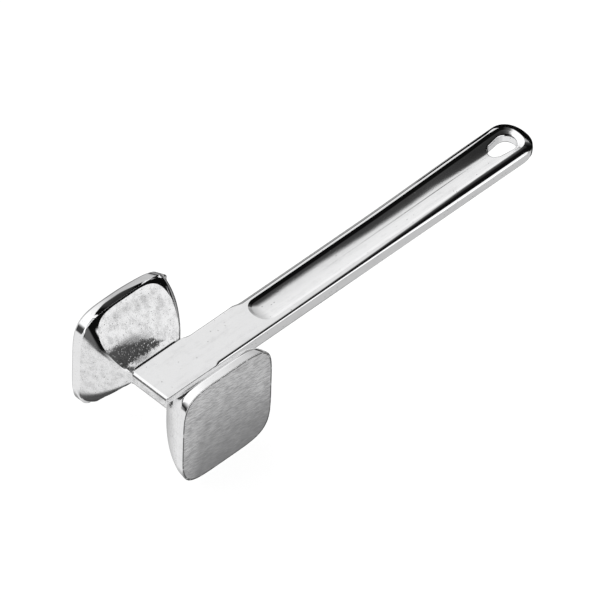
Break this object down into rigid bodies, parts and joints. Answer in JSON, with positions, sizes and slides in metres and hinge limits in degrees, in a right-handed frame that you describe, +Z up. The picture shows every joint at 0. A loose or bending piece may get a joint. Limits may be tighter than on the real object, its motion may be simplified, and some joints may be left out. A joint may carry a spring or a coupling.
{
  "type": "meat tenderizer",
  "caption": "Cast aluminium meat mallet with a smooth square striking face, a toothed one opposite, and a flat channelled handle with a hang hole, for flattening and tenderizing meat.",
  "frame": {"origin": "middle of the web's flat front face, on the casting's middle plane", "axes": "+X across the head towards the smooth striking face, +Y along the handle away from the head, +Z up out of the web's top face"},
  "size_m": [0.0726, 0.2448, 0.0552],
  "materials": {
    "cast_aluminium": "polished casting with fine cast specks",
    "ground_aluminium": "flat face ground with fine straight scratches"
  },
  "bodies": {
    "root": {"handle_bar": "cast_aluminium", "smooth_block": "cast_aluminium", "smooth_striking_plate": "ground_aluminium", "toothed_block": "cast_aluminium", "toothed_striking_plate": "cast_aluminium"}
  },
  "joints": []
}
